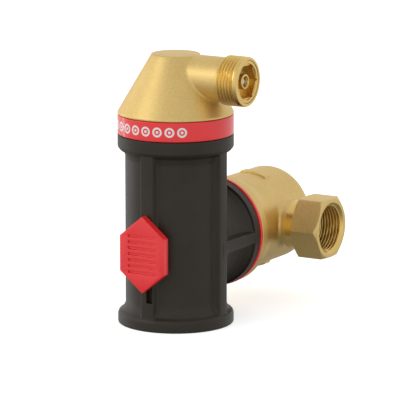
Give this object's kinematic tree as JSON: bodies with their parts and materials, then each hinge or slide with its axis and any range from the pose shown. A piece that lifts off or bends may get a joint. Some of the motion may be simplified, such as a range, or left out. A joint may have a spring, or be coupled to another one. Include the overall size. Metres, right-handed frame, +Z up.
{
  "type": "automatic air vent",
  "caption": "Automatic air vent for a heating circuit: black ribbed housing with a conical brass vent cap and threaded side outlet, turning on a brass tee with internally threaded ports",
  "frame": {"origin": "Where the pipe's centreline meets the swivel axis, inside the tee", "axes": "+X along the pipe out of the right-hand port, +Y from the housing to the back of the tee, +Z up the housing"},
  "size_m": [0.1036, 0.1364, 0.1455],
  "materials": {
    "cast_brass": "satin, as cast and blasted",
    "turned_brass": "turned",
    "black_plastic": "moulded, glass filled",
    "red_plastic": "glossy moulded",
    "pale_plastic": "moulded, unpigmented",
    "float_plastic": "moulded, white",
    "seal_rubber": "black EPDM",
    "spring_steel": "stainless, drawn wire and strip"
  },
  "bodies": {
    "tee": {"tee_body": "cast_brass", "swivel_ring": "red_plastic", "retaining_ring": "spring_steel", "flow_guide": "pale_plastic"},
    "housing": {"housing": "black_plastic", "trim_band": "red_plastic", "front_clip": "red_plastic", "swivel_seal_front": "seal_rubber", "swivel_seal_rear": "seal_rubber", "separator_core": "pale_plastic", "separator_disc_1": "pale_plastic", "separator_disc_2": "pale_plastic", "separator_disc_3": "pale_plastic", "separator_disc_4": "pale_plastic", "separator_disc_5": "pale_plastic"},
    "cap": {"vent_cap": "cast_brass", "cap_seal": "seal_rubber", "cap_clip": "spring_steel", "valve_insert": "turned_brass", "insert_seal": "seal_rubber", "check_spring": "spring_steel", "lever_bracket": "spring_steel", "lever_pin": "spring_steel", "float_guide": "pale_plastic"},
    "lever": {"valve_lever": "pale_plastic", "seat_disc": "seal_rubber"},
    "float": {"float": "float_plastic", "link_pin": "spring_steel"},
    "check_pin": {"check_pin": "spring_steel"}
  },
  "joints": [
    {"name": "housing_swivel", "type": "hinge", "parent": "tee", "child": "housing", "pos_m": [0, -0.0309, 0], "axis": [0, 1, 0], "continuous": true},
    {"name": "cap_swivel", "type": "hinge", "parent": "housing", "child": "cap", "pos_m": [0, -0.0772, 0.0601], "axis": [0, 0, 1], "continuous": true},
    {"name": "float_slide", "type": "slide", "parent": "cap", "child": "float", "axis": [0, 0, 1], "range_m": [0, 0.0039]},
    {"name": "lever_hinge", "type": "hinge", "parent": "cap", "child": "lever", "pos_m": [0.008, -0.0772, 0.0841], "axis": [0, 1, 0], "range_deg": [0, 28.6]},
    {"name": "check_pin_slide", "type": "slide", "parent": "cap", "child": "check_pin", "axis": [-1, 0, 0], "range_m": [0, 0.0015], "stiffness_N_per_m": 150, "springref_m": -0.001, "deforming": ["check_spring"]}
  ],
  "couplings": [
    {"joint": "lever_hinge", "follows": "float_slide", "rad_per_m": 126.3}
  ]
}
